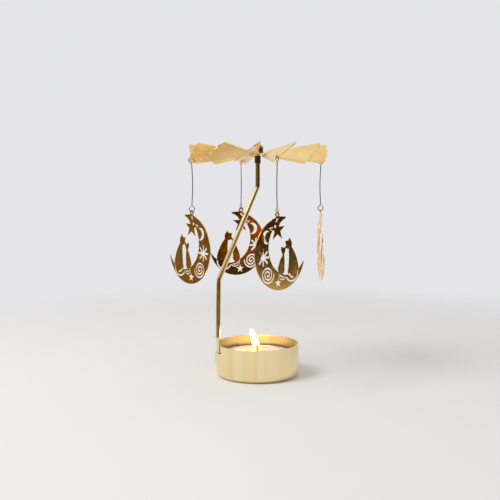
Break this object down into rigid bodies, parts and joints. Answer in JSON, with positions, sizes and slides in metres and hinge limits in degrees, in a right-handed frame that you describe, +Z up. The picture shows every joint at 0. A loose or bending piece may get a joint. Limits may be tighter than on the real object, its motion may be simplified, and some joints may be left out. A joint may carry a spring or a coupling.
{
  "type": "tealight carousel",
  "caption": "Tealight cup with a bent side stem, a heat-driven fan wheel on a needle pivot, and pierced crescent charms on wire hangers.",
  "frame": {"origin": "centre of the cup's flat underside, where it rests on the table", "axes": "+Z up along the fan's axis; -X towards the stem; +Y completes the right-handed frame"},
  "size_m": [0.0855, 0.0821, 0.1277],
  "materials": {
    "cup_brass": "polished brass plate",
    "stem_brass": "polished brass plate",
    "collar_dark": "dark bronze, satin",
    "needle_steel": "bare steel",
    "fan_brass": "bright brass-plated sheet",
    "cap_dark": "dark bronze, satin",
    "wire_steel": "bright steel wire",
    "charm_brass": "polished antique-gold plate",
    "tin_aluminium": "pressed foil, bright",
    "wax_cream": "paraffin wax, cream",
    "wick_charred": "braided cotton, burnt at the tip",
    "sustainer_steel": "tinned steel"
  },
  "bodies": {
    "base": {"cup": "cup_brass", "stem": "stem_brass", "stem_collar": "collar_dark", "pivot_needle": "needle_steel"},
    "rotor": {"fan_wheel": "fan_brass", "pivot_cap": "cap_dark"},
    "hanger_1": {"hanger_1": "wire_steel"},
    "charm_1": {"charm_1": "charm_brass"},
    "hanger_2": {"hanger_2": "wire_steel"},
    "charm_2": {"charm_2": "charm_brass"},
    "hanger_3": {"hanger_3": "wire_steel"},
    "charm_3": {"charm_3": "charm_brass"},
    "hanger_4": {"hanger_4": "wire_steel"},
    "charm_4": {"charm_4": "charm_brass"},
    "tealight": {"tealight_tin": "tin_aluminium", "tealight_wax": "wax_cream", "tealight_wick": "wick_charred", "wick_sustainer": "sustainer_steel"}
  },
  "joints": [
    {"name": "fan_spin", "type": "hinge", "parent": "base", "child": "rotor", "pos_m": [0, 0, 0.1225], "axis": [0, 0, 1], "continuous": true},
    {"name": "hanger_1_swing", "type": "hinge", "parent": "rotor", "child": "hanger_1", "pos_m": [0.03645, -0.00393, 0.11895], "axis": [0, -1, 0], "range_deg": [-6, 25]},
    {"name": "charm_1_swing", "type": "hinge", "parent": "hanger_1", "child": "charm_1", "pos_m": [0.03645, -0.00393, 0.0908], "axis": [0.9397, -0.342, 0], "range_deg": [-20, 20]},
    {"name": "hanger_2_swing", "type": "hinge", "parent": "rotor", "child": "hanger_2", "pos_m": [0.00393, 0.03645, 0.11895], "axis": [1, 0, 0], "range_deg": [-6, 25]},
    {"name": "charm_2_swing", "type": "hinge", "parent": "hanger_2", "child": "charm_2", "pos_m": [0.00393, 0.03645, 0.0908], "axis": [-0.1461, 0.9893, 0], "range_deg": [-20, 20]},
    {"name": "hanger_3_swing", "type": "hinge", "parent": "rotor", "child": "hanger_3", "pos_m": [-0.03645, 0.00393, 0.11895], "axis": [0, 1, 0], "range_deg": [-6, 25]},
    {"name": "charm_3_swing", "type": "hinge", "parent": "hanger_3", "child": "charm_3", "pos_m": [-0.03645, 0.00393, 0.0908], "axis": [-0.9461, -0.3239, 0], "range_deg": [-20, 20]},
    {"name": "hanger_4_swing", "type": "hinge", "parent": "rotor", "child": "hanger_4", "pos_m": [-0.00393, -0.03645, 0.11895], "axis": [-1, 0, 0], "range_deg": [-6, 25]},
    {"name": "charm_4_swing", "type": "hinge", "parent": "hanger_4", "child": "charm_4", "pos_m": [-0.00393, -0.03645, 0.0908], "axis": [0.4035, -0.915, 0], "range_deg": [-20, 20]},
    {"name": "tealight_lift", "type": "slide", "parent": "base", "child": "tealight", "axis": [0, 0, 1], "range_m": [0, 0.025]}
  ]
}
